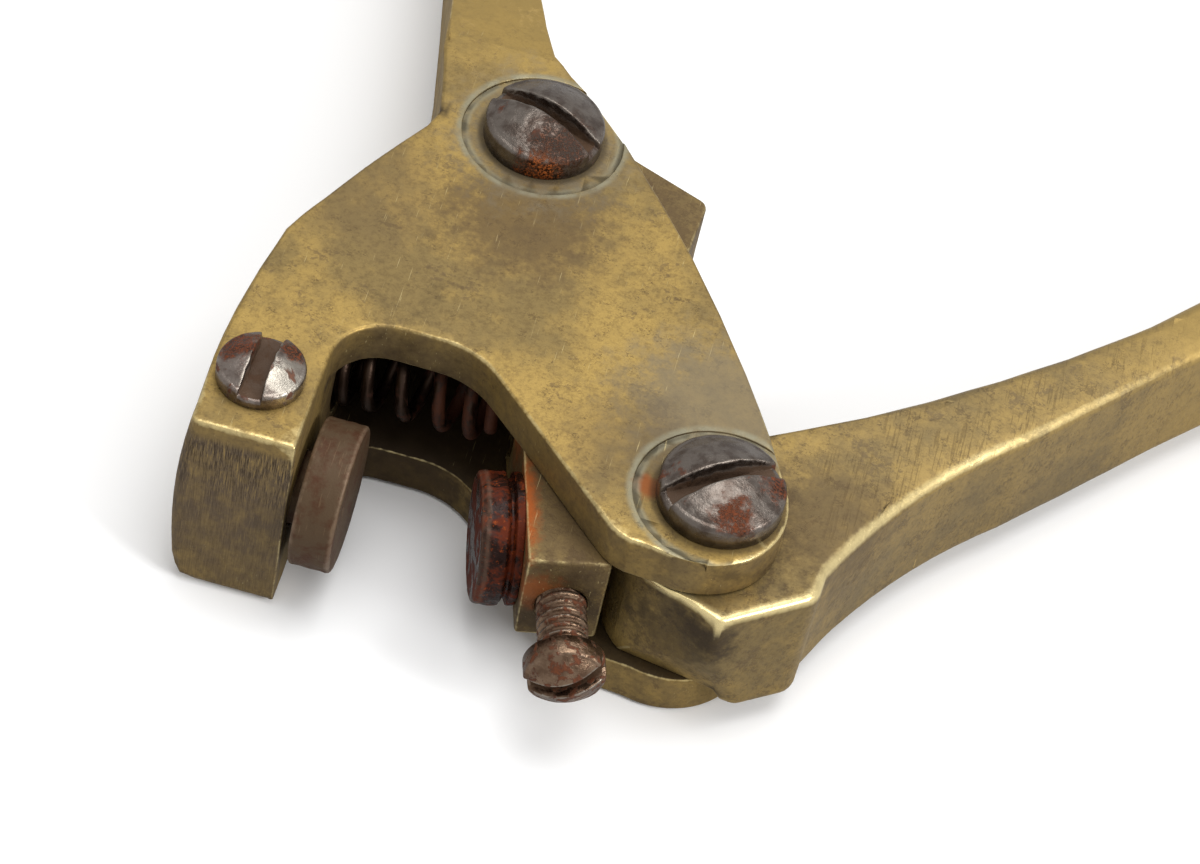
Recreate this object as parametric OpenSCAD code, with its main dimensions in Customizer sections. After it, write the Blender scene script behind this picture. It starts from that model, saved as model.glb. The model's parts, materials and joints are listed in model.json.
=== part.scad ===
// Lead-seal pliers: a slotted brass frame, a sprung swing jaw and a cam lever.
// Origin at the centre of the closed die nip, half way through the head.
// +X from the fixed die to the swing jaw, +Y towards the handles, +Z square to the cheeks.

/* [Head] */
// Overall thickness of the head, over both cheeks
head_t = 18.6; // [17:0.1:21]
// Thickness of each cheek
cheek_t = 3.9; // [3:0.1:4.4]
// Width of the fixed jaw along the squeeze direction
jaw_w = 8.3; // [7.5:0.1:9]
// Gap between fixed jaw wall and fixed die
die_gap = 0.8; // [0.4:0.1:1]
// Side play of the swing jaw and of the lever in the slot, on each side
side_play = 0.15; // [0.05:0.05:0.3]

/* [Dies] */
// Diameter of the fixed die
fixed_die_d = 12; // [10:0.5:12.5]
// Diameter of the moving die
moving_die_d = 10.6; // [9:0.1:11]
// Thickness of each die head
die_t = 3.4; // [3:0.1:3.6]
// Clear gap left between the dies when they are closed
nip = 0.4; // [0.2:0.1:1]
// Diameter of the die shanks
shank_d = 6; // [5:0.5:6]

/* [Pivots] */
// Position of the swing jaw's pivot
jaw_pivot = [5.8, 35.8];
// Position of the lever's pivot
lever_pivot = [27.8, 2.3];
// Thread diameter of the two pivot screws
pivot_d = 6; // [5:0.5:6]
// Head diameter of the two pivot screws
pivot_head_d = 10; // [9:0.5:10.5]
// Radial running clearance round the pivot screws
pivot_play = 0.05; // [0.02:0.01:0.1]

/* [Motion] */
// Turn of the swing jaw from open to closed
jaw_swing = 15.5; // [14:0.5:16]
// Turn of the lever from open to closed
lever_swing = 50; // [46:1:52]
// Clear gap between the lever's cam and the swing jaw
cam_gap = 0.1; // [0.05:0.05:0.3]

/* [Set screws] */
// Thread diameter of the two die set screws
set_d = 4; // [3.5:0.5:4]
// Head diameter of the two die set screws
set_head_d = 7; // [6:0.5:7.5]

/* [Spring] */
// Outer diameter of the return spring
spring_d = 7; // [6:0.5:7.5]
// Wire diameter of the return spring
wire_d = 1.1; // [0.8:0.1:1.3]
// Number of turns
spring_turns = 5.5; // [5:0.5:7]

/* [Handles] */
// Thickness of the frame's grip
grip_t = 12; // [10:0.5:14]
// Thickness of the lever outside the slot
lever_t = 12.2; // [11:0.1:13]
// Width of both grips
grip_w = 6; // [5:0.5:8]

/* [Hidden] */
$fn = 72;
eps = 0.01;
slot_t = head_t - 2 * cheek_t;
moving_t = slot_t - 2 * side_play;
wall_x = -nip / 2 - die_t - die_gap;        // inner wall of the fixed jaw
jaw_x = nip / 2 + die_t;                    // die face of the closed swing jaw
bar_w = 6.5;                                // width of the swing jaw's bar
bar_end_y = -6.4;                           // front end of the swing jaw
jaw_front_y = -4.2;                         // front end of the fixed jaw
jaw_boss_r = 7;
slot_end_r = 7.3;                           // slot end round the swing jaw's boss
hub_r = 7.2;
nose_r = 1.6;                               // round tip at the far end of the cam
shoulder_r = 7.6;                           // edge of the lever's tongue, outside the boss
spring_y = 14;
spring_reach = 9.2;                         // free end of the spring when open
pocket_d = 8.4;
pocket_depth = 1;
shank_len = 5.4;
flat_h = 1.5;                               // height of the flat on each die shank
pivot_head_h = 3.6;
set_head_h = 2.5;
set_stand = 5.3;                            // bare thread between swing jaw and screw head
set_y = 1.9;                                // fixed die's set screw
set_x = wall_x - shank_len / 2 - 1.8;
jaw_set_x = jaw_x + bar_w / 2;
jaw_set_head_d = 6.4;
jaw_set_head_h = 3.2;
brass = [0.62, 0.52, 0.27];
steel = [0.45, 0.41, 0.39];
rust = [0.45, 0.2, 0.1];

// Points along an arc, from angle a0 to angle a1
function arc(c, r, a0, a1, n = 10) =
    [for (i = [0:n]) let (a = a0 + (a1 - a0) * i / n) c + r * [cos(a), sin(a)]];
// Points from p to q on a shallow curve that stands out to the right by h at its middle
function bow(p, q, h, n = 10) = let (c = q - p, side = [c[1], -c[0]] / norm(c))
    [for (i = [0:n]) let (t = i / n) p + t * c + 4 * h * t * (1 - t) * side];
// Quadratic curve through the three control points of c, and its direction
function curve(c, t) = (1 - t) ^ 2 * c[0] + 2 * t * (1 - t) * c[1] + t ^ 2 * c[2];
function heading(c, t) = let (d = (1 - t) * (c[1] - c[0]) + t * (c[2] - c[1])) d / norm(d);
// Right and left sides of a grip that follows curve c, with half width h0 at its root
function grip_half(h0, t) = grip_w / 2 + (h0 - grip_w / 2) * (1 - t) ^ (h0 > grip_w / 2 ? 6 : 2);
function grip_side(c, h0, s, n = 14) = [for (i = [0:n]) let (t = i / n, d = heading(c, t))
    curve(c, t) + s * grip_half(h0, t) * [d[1], -d[0]]];
function grip_cap(c) = let (d = heading(c, 1), a = atan2(d[1], d[0]))
    arc(c[2], grip_w / 2, a - 80, a + 80, 12);
function reversed(v) = [for (i = [len(v) - 1:-1:0]) v[i]];

// Control points of the two grips
fixed_grip = [[0, 44.5], [-7.7, 74], [-22, 146]];
lever_grip = [[60.6, 35.8], [80, 56.6], [105, 97]];
fixed_root_half = 4.8;
lever_root_half = 2.45;

// Mouth edge: up the jaw wall, over the arch and down to the lever's boss
mouth_edge = concat([[wall_x, jaw_front_y]], arc([0.2, 6], 0.2 - wall_x, 180, 90),
    arc([3.5, 3.6], 7, 90, 45), arc([23, -0.1], 4.2, 225, 258, 4));
boss_edge = arc([26.5, 2.1], 6.8, 254, 375, 20);
back_edge = bow([33, 4.2], [8.9, 41.6], 1.8, 14);
spine_edge = concat([[-4.2, 41.6], [-3, 35.6]], bow([-3.6, 33.6], [-10.6, 20], 0.2, 4),
    bow([-11.4, 18], [jaw_front_x(), 3], 0.3, 6));
function jaw_front_x() = wall_x - jaw_w;

module frame_outline()
    polygon(concat([[jaw_front_x() + 0.2, jaw_front_y]], mouth_edge, boss_edge, back_edge,
        [[7, 43.2]], grip_side(fixed_grip, fixed_root_half, 1), grip_cap(fixed_grip),
        reversed(grip_side(fixed_grip, fixed_root_half, -1)), spine_edge));

// Space between the cheeks: open to the front and to the right, round at the jaw's pivot
module slot_outline() {
    polygon([[wall_x, -20], [60, -20], [60, 41], [jaw_pivot[0], 41], [jaw_pivot[0], 38],
        [-1.1, 33.3], [wall_x, 20]]);
    translate(jaw_pivot) circle(slot_end_r);
}

// Side view of the frame: full thickness at the head, thinner along the grip
module frame_side() {
    a = head_t / 2;
    g = grip_t / 2;
    rotate([90, 0, 90]) linear_extrude(120, center = true)
        polygon([[-20, -a], [45, -a], [68, -g], [170, -g], [170, g], [68, g], [45, a], [-20, a]]);
}

module frame() {
    spot_d = pivot_head_d + 3.6;
    spot_depth = 0.2;
    color(brass) difference() {
        intersection() {
            linear_extrude(head_t, center = true) frame_outline();
            frame_side();
        }
        linear_extrude(slot_t, center = true) slot_outline();
        for (p = [jaw_pivot, lever_pivot]) translate(p) {
            cylinder(d = pivot_d, h = head_t + 2, center = true);
            translate([0, 0, head_t / 2 - spot_depth]) cylinder(d = spot_d, h = 2);
        }
        translate([wall_x - shank_len, 0, 0]) rotate([0, 90, 0])
            cylinder(d = shank_d, h = shank_len + 1);
        translate([set_x, set_y, 0]) cylinder(d = set_d, h = head_t);
        translate([wall_x - pocket_depth, spring_y, 0]) rotate([0, 90, 0])
            cylinder(d = pocket_d, h = 8);
    }
}

// Turns a closed swing jaw to its open place
module opened() translate(jaw_pivot) rotate(jaw_swing) translate(-jaw_pivot) children();

module jaw_outline() {
    tail = [13.3, -2.9];
    tail_r = 1;
    a = atan2(tail[1], tail[0]) - asin((jaw_boss_r - tail_r) / norm(tail)) + 90;
    bar_left = jaw_x - jaw_pivot[0];
    end_y = bar_end_y - jaw_pivot[1];
    translate(jaw_pivot) {
        circle(jaw_boss_r);
        polygon(concat([[bar_left, 0], [bar_left, end_y], [bar_left + bar_w, end_y],
            [bar_left + bar_w, -15.5], [12.1, -9.4]], arc(tail, tail_r, -20, a, 6),
            [jaw_boss_r * [cos(a), sin(a)]]));
    }
}

module swing_jaw() {
    bevel = 1.5;
    color(brass) opened() difference() {
        linear_extrude(moving_t, center = true) jaw_outline();
        translate(jaw_pivot) cylinder(r = pivot_d / 2 + pivot_play, h = head_t, center = true);
        translate([jaw_x - 1, 0, 0]) rotate([0, 90, 0]) cylinder(d = shank_d, h = shank_len + 1);
        translate([jaw_set_x, bar_end_y - 1, 0]) rotate([-90, 0, 0])
            cylinder(d = set_d, h = -bar_end_y);
        translate([jaw_x - 8, spring_y, 0]) rotate([0, 90, 0])
            cylinder(d = pocket_d, h = 8 + pocket_depth);
        translate([jaw_x, 0, -moving_t / 2]) rotate([0, 45, 0])
            cube([bevel * sqrt(2), 60, bevel * sqrt(2)], center = true);
        translate([0, bar_end_y, -moving_t / 2]) rotate([45, 0, 0])
            cube([60, bevel * sqrt(2), bevel * sqrt(2)], center = true);
    }
}

// Distance from the lever's pivot to the swing jaw's pressed side, with the jaw turned by a
pressed_x = jaw_x + bar_w - jaw_pivot[0];
pivot_step = lever_pivot - jaw_pivot;
function side_dist(a) = pivot_step * [cos(a), sin(a)] - pressed_x - cam_gap;
function side_rate(a) = pivot_step * [-sin(a), cos(a)];
// Cam flank: the curve that every position of the jaw's pressed side touches, as the jaw
// turns in a constant ratio to the lever. u points from the lever's pivot to that side.
function cam_point(t) = let (jaw = jaw_swing * (1 - t), k = jaw_swing / lever_swing,
        g = 180 + jaw - lever_swing * t, rate = side_rate(jaw) * k / (1 + k))
    side_dist(jaw) * [cos(g), sin(g)] + rate * [-sin(g), cos(g)];
cam_edge = [for (i = [16:-1:0]) lever_pivot + cam_point(i / 16)];

module lever_outline() {
    hub_edge = arc(lever_pivot, hub_r, 200, 262, 8);
    heel_edge = arc([35.4, -0.4], 1.9, -55, 5, 4);
    inner_edge = bow([37.4, 1.2], [51, 21], -1.2);
    outer_edge = concat(bow([57.6, 36.2], [30.4, 14], -1), [[27.6, 15.6]]);
    last = 180 - lever_swing;
    nose = lever_pivot + cam_point(1) - nose_r * [cos(last), sin(last)];
    nose_edge = arc(nose, nose_r, 20, last, 5);
    polygon(concat(hub_edge, [[30.4, -6.4]], heel_edge, inner_edge,
        grip_side(lever_grip, lever_root_half, 1), grip_cap(lever_grip),
        reversed(grip_side(lever_grip, lever_root_half, -1)), outer_edge, nose_edge, cam_edge));
}

// Part of the lever that stays clear of the cheeks at every place of its swing
module shoulder_outline() difference() {
    intersection() {
        lever_outline();
        polygon([[28.6, -12], [28.6, -4], [34.2, -1.2], [42.6, 20.4], [46.4, 60], [140, 120],
            [140, -12]]);
    }
    translate(lever_pivot) circle(shoulder_r);
}

module lever() {
    color(brass) difference() {
        union() {
            linear_extrude(moving_t, center = true) lever_outline();
            translate([0, 0, moving_t / 2 - lever_t]) linear_extrude(lever_t) shoulder_outline();
        }
        translate(lever_pivot) cylinder(r = pivot_d / 2 + pivot_play, h = head_t, center = true);
        translate([30, -6.2, -0.2]) rotate([20, 0, -10]) translate([-20, -20, -20])
            cube([40, 20, 40]);
    }
}

// Die: round head from the origin towards -X, shank behind it with a flat for its set screw
module die(d, stand) rotate([0, -90, 0]) difference() {
    union() {
        cylinder(d = d, h = die_t);
        cylinder(d = shank_d, h = die_t + stand + shank_len - eps);
    }
    translate([flat_h, -shank_d, die_t + stand]) cube([shank_d, 2 * shank_d, shank_len]);
}

module fixed_die() color([0.36, 0.27, 0.21]) translate([-nip / 2, 0, 0]) die(fixed_die_d, die_gap);

module moving_die() color(rust) opened() translate([nip / 2, 0, 0])
    mirror([1, 0, 0]) rotate([90, 0, 0]) die(moving_die_d, 0);

// Slotted screw along -Z with the underside of its domed head at the origin
module slotted_screw(d, head_d, head_h, len, turn) {
    rim_h = head_h * 0.45;
    dome_h = head_h - rim_h;
    dome_r = (head_d ^ 2 / 4 + dome_h ^ 2) / (2 * dome_h);
    rotate(turn) difference() {
        union() {
            translate([0, 0, -len]) cylinder(d = d, h = len + eps);
            cylinder(d = head_d, h = rim_h);
            intersection() {
                translate([0, 0, rim_h - eps]) cylinder(d = head_d, h = dome_h + 1);
                translate([0, 0, head_h - dome_r]) sphere(dome_r);
            }
        }
        translate([-head_d, -head_d * 0.065, head_h * 0.5]) cube([2 * head_d, head_d * 0.13, head_h]);
    }
}

module pivot_screw(p, turn) color(steel) translate([p[0], p[1], head_t / 2 - 0.2])
    slotted_screw(pivot_d, pivot_head_d, pivot_head_h, head_t - 0.2, turn);
module jaw_pivot_screw() pivot_screw(jaw_pivot, -10);
module lever_pivot_screw() pivot_screw(lever_pivot, 30);

module fixed_die_screw() color(steel) translate([set_x, set_y, head_t / 2])
    slotted_screw(set_d, set_head_d, set_head_h, head_t / 2 - flat_h, 89);

module moving_die_screw() color(steel) opened()
    translate([jaw_set_x, bar_end_y - set_stand, 0]) rotate([90, 0, 0])
        slotted_screw(set_d, jaw_set_head_d, jaw_set_head_h, set_stand - bar_end_y - flat_h, 21);

// Coil spring along +X: rings of wire points swept along a helix, closed at both ends
module return_spring() {
    steps = 20;
    sides = 6;
    start = wall_x - pocket_depth;
    rise = spring_reach - start - wire_d;
    coil_r = (spring_d - wire_d) / 2;
    n = steps * spring_turns;
    points = [for (i = [0:n]) let (a = 360 * i / steps, x = start + wire_d / 2 + rise * i / n)
        for (j = [0:sides - 1]) let (b = 360 * j / sides, r = coil_r + wire_d / 2 * cos(b))
            [x + wire_d / 2 * sin(b), spring_y + r * cos(a), r * sin(a)]];
    walls = [for (i = [0:n - 1]) for (j = [0:sides - 1]) let (k = (j + 1) % sides)
        [i * sides + j, i * sides + k, (i + 1) * sides + k, (i + 1) * sides + j]];
    near_end = [for (j = [sides - 1:-1:0]) j];
    far_end = [for (j = [0:sides - 1]) n * sides + j];
    color(rust) polyhedron(points, concat([near_end], walls, [far_end]), convexity = 8);
}

frame();
swing_jaw();
lever();
fixed_die();
moving_die();
jaw_pivot_screw();
lever_pivot_screw();
fixed_die_screw();
moving_die_screw();
return_spring();
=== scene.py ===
"""Lead seal pliers: worn castings, turned dies, slotted screws and a coil spring, with their finishes.

Lengths in this script are millimetres until a mesh is made, which is in metres.
"""
import json

import bmesh
import bpy
import numpy as np
from mathutils import Matrix, Vector


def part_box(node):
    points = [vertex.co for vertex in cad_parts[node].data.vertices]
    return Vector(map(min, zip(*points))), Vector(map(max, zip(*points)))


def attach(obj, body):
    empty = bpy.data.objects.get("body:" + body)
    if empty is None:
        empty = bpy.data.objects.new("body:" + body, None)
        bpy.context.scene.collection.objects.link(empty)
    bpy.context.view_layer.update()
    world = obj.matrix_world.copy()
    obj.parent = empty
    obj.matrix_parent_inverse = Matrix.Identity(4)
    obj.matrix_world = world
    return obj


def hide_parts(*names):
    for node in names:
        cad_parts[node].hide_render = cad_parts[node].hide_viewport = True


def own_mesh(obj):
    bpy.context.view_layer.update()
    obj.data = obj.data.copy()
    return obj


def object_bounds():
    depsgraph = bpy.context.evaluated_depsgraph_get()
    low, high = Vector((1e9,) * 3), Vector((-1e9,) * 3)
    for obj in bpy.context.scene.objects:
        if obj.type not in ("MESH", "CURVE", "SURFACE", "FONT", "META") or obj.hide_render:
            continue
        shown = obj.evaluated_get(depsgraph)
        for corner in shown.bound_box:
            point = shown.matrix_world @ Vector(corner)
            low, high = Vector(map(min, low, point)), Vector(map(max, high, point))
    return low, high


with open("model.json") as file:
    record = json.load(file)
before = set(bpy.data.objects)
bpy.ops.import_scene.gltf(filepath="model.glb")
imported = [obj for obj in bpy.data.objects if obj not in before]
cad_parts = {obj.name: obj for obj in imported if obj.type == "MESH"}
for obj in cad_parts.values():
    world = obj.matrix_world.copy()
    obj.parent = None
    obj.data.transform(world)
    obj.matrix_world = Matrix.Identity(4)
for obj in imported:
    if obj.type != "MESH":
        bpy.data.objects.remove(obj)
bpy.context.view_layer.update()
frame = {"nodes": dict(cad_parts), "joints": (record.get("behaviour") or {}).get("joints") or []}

MM = 0.001
JOINTS = {joint["name"]: joint for joint in frame["joints"]}


# ---------------------------------------------------------------- places, read from the frame

def box_mm(node):
    """Lowest and highest corner of a node."""
    low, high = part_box(node)
    return np.array(low) / MM, np.array(high) / MM


def frame_at(origin, z_axis, x_axis):
    """4 x 4 place: local z along z_axis, and local x as near x_axis as it can be."""
    z = np.array(z_axis, float) / np.linalg.norm(z_axis)
    x = np.array(x_axis, float) - z * np.dot(x_axis, z)
    place = np.eye(4)
    place[:3, 0] = x / np.linalg.norm(x)
    place[:3, 1] = np.cross(z, place[:3, 0])
    place[:3, 2] = z
    place[:3, 3] = origin
    return place


def turn_about(centre, degrees):
    """4 x 4 turn about an upright axis through centre."""
    a = np.radians(degrees)
    turn = np.eye(4)
    turn[:2, :2] = [[np.cos(a), -np.sin(a)], [np.sin(a), np.cos(a)]]
    turn[:3, 3] = np.array(centre) - turn[:3, :3] @ np.array(centre)
    return turn


def moved(place, points):
    return points @ place[:3, :3].T + place[:3, 3]


def points_of(mesh):
    flat = np.empty(len(mesh.vertices) * 3, np.float32)
    mesh.vertices.foreach_get("co", flat)
    return flat.reshape(-1, 3).astype(float) / MM


def node_points(node, place=np.eye(4)):
    """A node's points in the local frame of a place."""
    return moved(np.linalg.inv(place), points_of(frame["nodes"][node].data))


JAW_PIVOT = np.array(JOINTS["jaw_hinge"]["pos_m"]) / MM
LEVER_PIVOT = np.array(JOINTS["lever_hinge"]["pos_m"]) / MM
JAW_OPEN = turn_about(JAW_PIVOT, -JOINTS["jaw_hinge"]["range_deg"][0])
HEAD_TOP = box_mm("frame")[1][2]


# ---------------------------------------------------------------- surfaces

def ripples(points, size, seed, waves=9):
    """Gentle random relief from -1 to 1: the mean of plane waves in random directions, with
    wavelengths of about size."""
    rng = np.random.default_rng(seed)
    direction = rng.normal(size=(waves, 3))
    direction /= np.linalg.norm(direction, axis=1)[:, None]
    length = size * rng.uniform(0.7, 1.6, waves)
    phase = rng.uniform(0, 2 * np.pi, waves)
    return np.sin(points @ (direction / length[:, None]).T * 2 * np.pi + phase).mean(1) * 1.8


def smooth_step(value, low, high):
    t = np.clip((value - low) / (high - low), 0, 1)
    return t * t * (3 - 2 * t)


def grid_faces(rows, columns, wrap=False):
    """Quads of a grid of points stored row by row; wrap joins each row's end to its start."""
    row = np.arange(rows - 1)[:, None]
    column = np.arange(columns if wrap else columns - 1)[None, :]
    after = (column + 1) % columns
    quads = [row * columns + column, row * columns + after,
             (row + 1) * columns + after, (row + 1) * columns + column]
    return np.stack(np.broadcast_arrays(*quads), -1).reshape(-1, 4)


def new_piece(name, points, faces, edge, hollow, material, body, node):
    """One finished piece in the object's frame. Its points keep their distance from rubbed edges and
    from hollows where dirt stays."""
    mesh = bpy.data.meshes.new(name)
    mesh.from_pydata(points * MM, [], faces)
    store(mesh, "edge_mm", edge)
    store(mesh, "hollow_mm", hollow)
    work = bmesh.new()
    work.from_mesh(mesh)
    bmesh.ops.remove_doubles(work, verts=work.verts, dist=1e-6)
    bmesh.ops.recalc_face_normals(work, faces=work.faces)
    work.to_mesh(mesh)
    work.free()
    return placed(name, mesh, material, body, node)


def store(mesh, name, values):
    layer = mesh.attributes.get(name) or mesh.attributes.new(name, "FLOAT", "POINT")
    layer.data.foreach_set("value", np.asarray(values, np.float32))


def placed(name, mesh, material, body, node):
    mesh.polygons.foreach_set("use_smooth", np.ones(len(mesh.polygons), bool))
    mesh.materials.clear()
    mesh.materials.append(material)
    piece = bpy.data.objects.new(name, mesh)
    bpy.context.scene.collection.objects.link(piece)
    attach(piece, body)
    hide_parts(node)
    return piece


def joined(shells):
    """Several (points, faces, edge, hollow) shells as one, whose faces are lists of corners."""
    starts = np.cumsum([0] + [len(shell[0]) for shell in shells])
    faces = [face for shell, start in zip(shells, starts) for face in (shell[1] + start).tolist()]
    points, edge, hollow = (np.concatenate([shell[i] for shell in shells]) for i in (0, 2, 3))
    return points, faces, edge, hollow


def turned(profile, sides):
    """Closed surface of revolution: each (radius, height) of the profile carried round the z axis.
    The profile starts and ends on the axis."""
    profile = np.array(profile, float)
    angle = np.arange(sides) / sides * 2 * np.pi
    radius = profile[:, :1]
    points = np.stack([radius * np.cos(angle), radius * np.sin(angle),
                       np.repeat(profile[:, 1:], sides, 1)], -1)
    return points.reshape(-1, 3), grid_faces(len(profile), sides, wrap=True)


def filleted(corners, radii, steps=4):
    """Profile through corners, each rounded by a curve that starts and ends its radius away."""
    path = [corners[0]]
    for before, corner, after, radius in zip(corners, corners[1:], corners[2:], radii):
        before, corner, after = np.array(before), np.array(corner), np.array(after)
        start = corner + (before - corner) / np.linalg.norm(before - corner) * radius
        end = corner + (after - corner) / np.linalg.norm(after - corner) * radius
        for t in np.linspace(0, 1, steps):
            path.append((1 - t) ** 2 * start + 2 * t * (1 - t) * corner + t ** 2 * end)
    path.append(corners[-1])
    return np.array(path, float)


# ---------------------------------------------------------------- castings

def segment_distance(points, starts, ends, chunk=2000):
    """Distance from each point to the nearest of the segments from starts to ends."""
    along = ends - starts
    square = np.maximum((along ** 2).sum(1), 1e-12)
    nearest = []
    for first in range(0, len(points), chunk):
        away = points[first:first + chunk, None, :] - starts[None]
        t = np.clip((away * along).sum(2) / square, 0, 1)
        nearest.append(np.linalg.norm(away - t[..., None] * along, axis=2).min(1))
    return np.concatenate(nearest)


def casting(name, node, radius_at, rub_at, reshape, material, body, cell=2.0):
    """A node's shape with its ridges rounded by radius_at(middle points), then cut into cells and
    moved by reshape(points, normals), so that it has the gentle waves of a filed casting. rub_at
    says by how much its edges are rubbed, which shortens the kept distance from them."""
    work = bmesh.new()
    work.from_mesh(frame["nodes"][node].data)
    bmesh.ops.remove_doubles(work, verts=work.verts, dist=2e-6)
    bmesh.ops.dissolve_limit(work, angle_limit=np.radians(1.5), verts=work.verts, edges=work.edges)
    turn = np.degrees([edge.calc_face_angle_signed(0) for edge in work.edges])
    ends = np.array([[corner.co for corner in edge.verts] for edge in work.edges]) / MM
    plain = bpy.data.meshes.new(name + "_plain")
    work.to_mesh(plain)
    work.free()

    ridge = turn > 28
    hollow = turn < -28
    radius = np.where(ridge, radius_at(ends.mean(1)), 0)
    weight = plain.attributes.new("bevel_weight_edge", "FLOAT", "EDGE")
    weight.data.foreach_set("value", (radius / radius.max()).astype(np.float32))
    holder = bpy.data.objects.new(name + "_plain", plain)
    bpy.context.scene.collection.objects.link(holder)
    rounding = holder.modifiers.new("rounding", "BEVEL")
    rounding.limit_method = "WEIGHT"
    rounding.width = radius.max() * MM
    rounding.segments = 3
    rounding.use_clamp_overlap = False
    rounding.miter_outer = "MITER_ARC"
    seen = holder.evaluated_get(bpy.context.evaluated_depsgraph_get())
    mesh = bpy.data.meshes.new_from_object(seen)
    bpy.data.objects.remove(holder)

    work = bmesh.new()
    work.from_mesh(mesh)
    low, high = box_mm(node)
    for axis in range(3):
        count = int((high[axis] - low[axis]) / cell)
        for place in low[axis] + (np.arange(count) + 0.5) * (high[axis] - low[axis]) / count:
            middle, square = np.zeros(3), np.zeros(3)
            middle[axis], square[axis] = place * MM, 1
            bmesh.ops.bisect_plane(work, geom=work.verts[:] + work.edges[:] + work.faces[:],
                                   dist=1e-7, plane_co=middle, plane_no=square)
    bmesh.ops.triangulate(work, faces=[face for face in work.faces if len(face.verts) > 4])
    work.to_mesh(mesh)
    work.free()
    mesh.name = name

    points = points_of(mesh)
    normals = np.empty(len(points) * 3, np.float32)
    mesh.vertices.foreach_get("normal", normals)
    store(mesh, "edge_mm", segment_distance(points, ends[ridge, 0], ends[ridge, 1]) / rub_at(points))
    store(mesh, "hollow_mm", segment_distance(points, ends[hollow, 0], ends[hollow, 1]))
    shaped = reshape(points, normals.reshape(-1, 3))
    mesh.vertices.foreach_set("co", (shaped * MM).astype(np.float32).ravel())
    mesh.update()
    piece = placed(name, mesh, material, body, node)
    even = piece.modifiers.new("even_shading", "WEIGHTED_NORMAL")
    even.mode = "FACE_AREA"
    even.weight = 50
    return piece


def filed(points, normals, seed):
    """Waves of a few hundredths across a filed surface, along its normals."""
    wave = 0.05 * ripples(points, 14, seed) + 0.022 * ripples(points, 4.5, seed + 1)
    return points + normals * wave[:, None]


# Frame: rounding of its ridges, by place
CHEEK_EDGE = 0.32
SPOT_EDGE = 0.1
SPOT_RADIUS = 7.4
SEAT_RADIUS = 6.75
SEAT_BAND = (6.3, 7.3)
GRIP_START = 44
GRIP_EDGE = 0.9
JAW_CORNER = 4.2
FOOT_EDGE = 0.9


def frame_rounding(middle):
    """Small on the head, smaller at the screw seats, and larger on the grip and the jaw's foot."""
    radius = CHEEK_EDGE + (GRIP_EDGE - CHEEK_EDGE) * smooth_step(middle[:, 1], GRIP_START, GRIP_START + 14)
    for pivot in (JAW_PIVOT, LEVER_PIVOT):
        near = np.linalg.norm(middle[:, :2] - pivot[:2], axis=1) < SPOT_RADIUS
        top = middle[:, 2] > HEAD_TOP - 0.6
        radius = np.where(near & top, SPOT_EDGE, radius)
        hole = np.linalg.norm(middle[:, :2] - pivot[:2], axis=1) < 3.3
        radius = np.where(hole, 0.12, radius)
    foot = (middle[:, 2] < -HEAD_TOP + 0.1) & (middle[:, 0] < -3) & (middle[:, 1] < 5)
    radius = np.where(foot, FOOT_EDGE, radius)
    corner = (middle[:, 2] < -HEAD_TOP + 0.1) & (middle[:, 0] < -11) & (middle[:, 1] < 19)
    radius = np.where(corner, JAW_CORNER, radius)
    side = (middle[:, 0] < -12) & (np.abs(middle[:, 2]) < HEAD_TOP - 0.5) & (middle[:, 1] < -3)
    radius = np.where(side, 0.7, radius)
    inside = (np.abs(middle[:, 2]) < HEAD_TOP - 0.6) & ~side
    return np.where(inside, 0.16, radius)


def frame_shape(points, normals):
    """Filed waves, the fixed jaw's outer side swelling at half height towards its front, and its
    front face leaning out towards its foot."""
    shaped = filed(points, normals, 11)
    swell = 0.2 + 0.75 * (1 - (points[:, 2] / HEAD_TOP) ** 2)
    swell *= smooth_step(-points[:, 0], 8.5, 12.6) * (1 - smooth_step(points[:, 1], 3, 16))
    shaped[:, 0] -= swell
    lean = 0.6 * smooth_step(-points[:, 2], -HEAD_TOP, HEAD_TOP) * smooth_step(-points[:, 1], 0, 4)
    shaped[:, 1] -= lean * (points[:, 0] < -3)
    return shaped


def frame_rubbing(points):
    """Most on the mouth's right edge and round the front of the fixed jaw, least under the head."""
    top = smooth_step(points[:, 2], 7, 9)
    mouth = smooth_step(points[:, 0], 0, 4) * (1 - smooth_step(points[:, 1], 10, 14))
    front = 1 - smooth_step(points[:, 1], -2, 1)
    rub = 0.35 + top * np.maximum(0.25 * mouth, 0.75 * front)
    for pivot in (JAW_PIVOT, LEVER_PIVOT):
        away = np.linalg.norm(points[:, :2] - pivot[:2], axis=1)
        ring = (away > SEAT_BAND[0]) & (away < SEAT_BAND[1])
        rub = np.where(ring & (points[:, 2] > HEAD_TOP - 0.5), 0.14, rub)
    return rub


def lever_rounding(middle):
    """Larger towards the grip and at the toe, and small on the tongue between the cheeks."""
    along = middle[:, 0] + middle[:, 1]
    radius = 0.95 + 0.3 * smooth_step(along, 36, 100)
    toe = (middle[:, 1] < 3) & (middle[:, 0] > 27)
    radius = np.where(toe, 0.6, radius)
    tongue = np.linalg.norm(middle[:, :2] - LEVER_PIVOT[:2], axis=1) < 7.6
    radius = np.where(tongue, 0.2, radius)
    hidden = (middle[:, 0] < 31) & (middle[:, 1] > 3)
    return np.where(hidden, 0.3, radius)


def lever_shape(points, normals):
    return filed(points, normals, 23)


def lever_rubbing(points):
    """Strong along the upper front edge, from the toe to the end of the grip."""
    top = smooth_step(points[:, 2], 3, 4.8)
    across = (points - LEVER_PIVOT) @ np.array([0.66, -0.75, 0])
    front = smooth_step(across, -6, 2)
    return 0.35 + 1.35 * top * front


def swing_jaw_rubbing(points):
    return np.full(len(points), 0.5)


def swing_jaw_rounding(middle):
    return np.full(len(middle), 0.3)


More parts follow.
